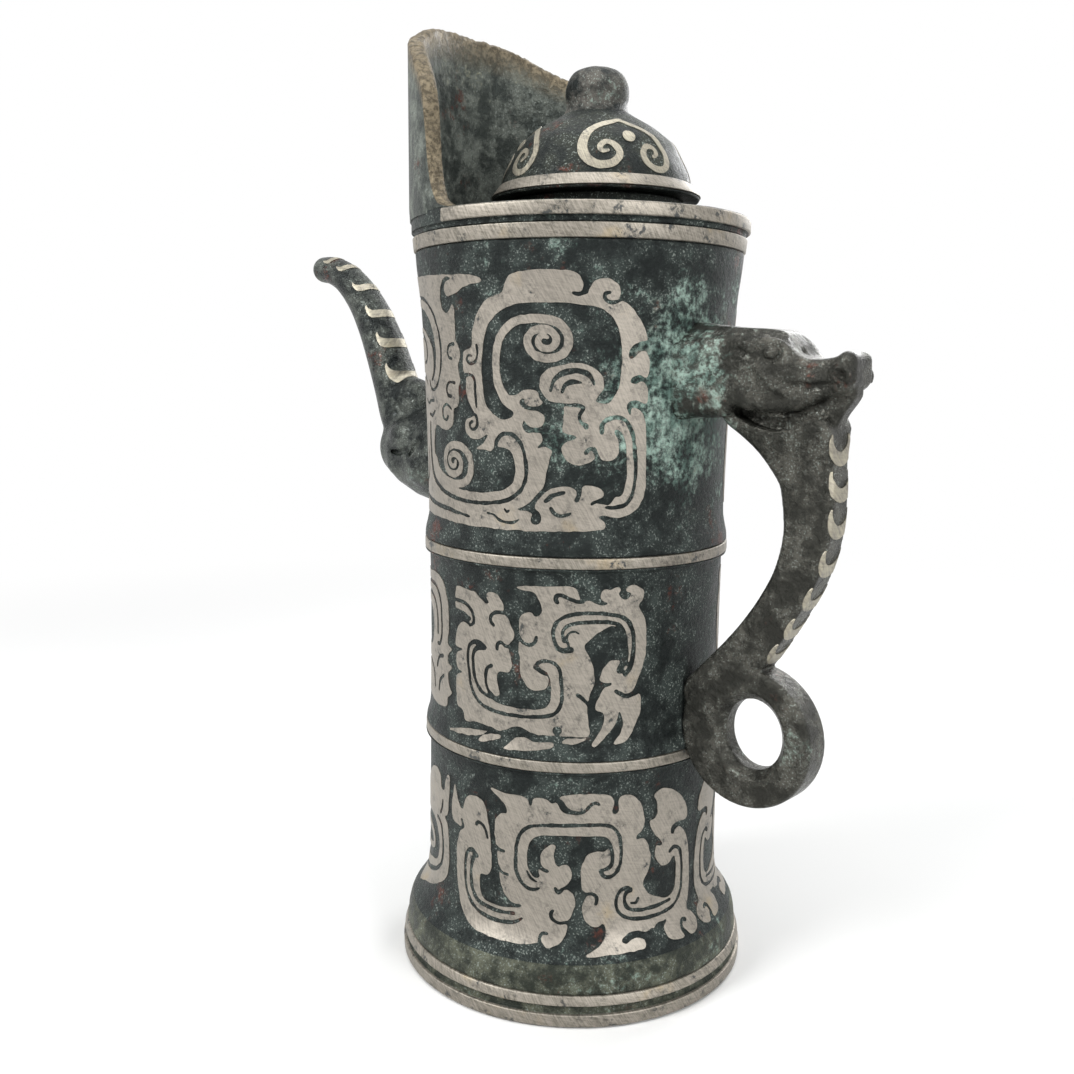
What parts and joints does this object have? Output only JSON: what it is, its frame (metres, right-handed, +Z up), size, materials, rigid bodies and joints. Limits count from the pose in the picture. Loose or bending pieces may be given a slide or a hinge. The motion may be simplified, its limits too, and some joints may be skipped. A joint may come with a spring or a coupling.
{
  "type": "filigree teapot",
  "caption": "Tall bronze pouring vessel with a raised pouring crest, lift-off domed lid, dragon-head handle and curved spout, inlaid with silver dragon scrolls.",
  "frame": {"origin": "bottom centre of the bounding box, on the surface that the foot stands on; the vessel's axis is at x = 0.0166 m", "axes": "+Z up, +X towards the handle, -X towards the spout and the pouring crest, Y across; the XZ plane is the plane of symmetry"},
  "size_m": [0.2152, 0.1056, 0.28],
  "materials": {
    "bronze": "dark patinated bronze with pale green bloom",
    "silver": "worn, finely scratched silver"
  },
  "bodies": {
    "vessel": {"body_shell": "bronze", "foot_ring": "bronze", "base_disc": "bronze", "pouring_crest": "bronze", "mouth_plate": "bronze", "handle": "bronze", "spout": "bronze", "foot_band_lower": "silver", "foot_band_upper": "silver", "ring_band_lower": "silver", "ring_band_upper": "silver", "rim_band": "silver", "lip_band": "silver", "dragon_inlay_upper_near": "silver", "dragon_inlay_upper_far": "silver", "dragon_inlay_middle_near": "silver", "dragon_inlay_middle_far": "silver", "dragon_inlay_lower_near": "silver", "dragon_inlay_lower_far": "silver", "handle_crescent_1": "silver", "handle_crescent_2": "silver", "handle_crescent_3": "silver", "handle_crescent_4": "silver", "handle_crescent_5": "silver", "handle_crescent_6": "silver", "handle_crescent_7": "silver", "spout_crescent_1": "silver", "spout_crescent_2": "silver", "spout_crescent_3": "silver", "spout_crescent_4": "silver", "spout_crescent_5": "silver", "spout_crescent_6": "silver"},
    "lid": {"lid": "bronze", "lid_band": "silver", "lid_knob": "bronze", "lid_scroll_1": "silver", "lid_scroll_2": "silver", "lid_scroll_3": "silver", "lid_scroll_4": "silver", "lid_dot_1": "silver", "lid_dot_2": "silver", "lid_dot_3": "silver", "lid_dot_4": "silver"}
  },
  "joints": [
    {"name": "lid_lift", "type": "slide", "parent": "vessel", "child": "lid", "axis": [0, 0, 1], "range_m": [0, 0.075]}
  ]
}
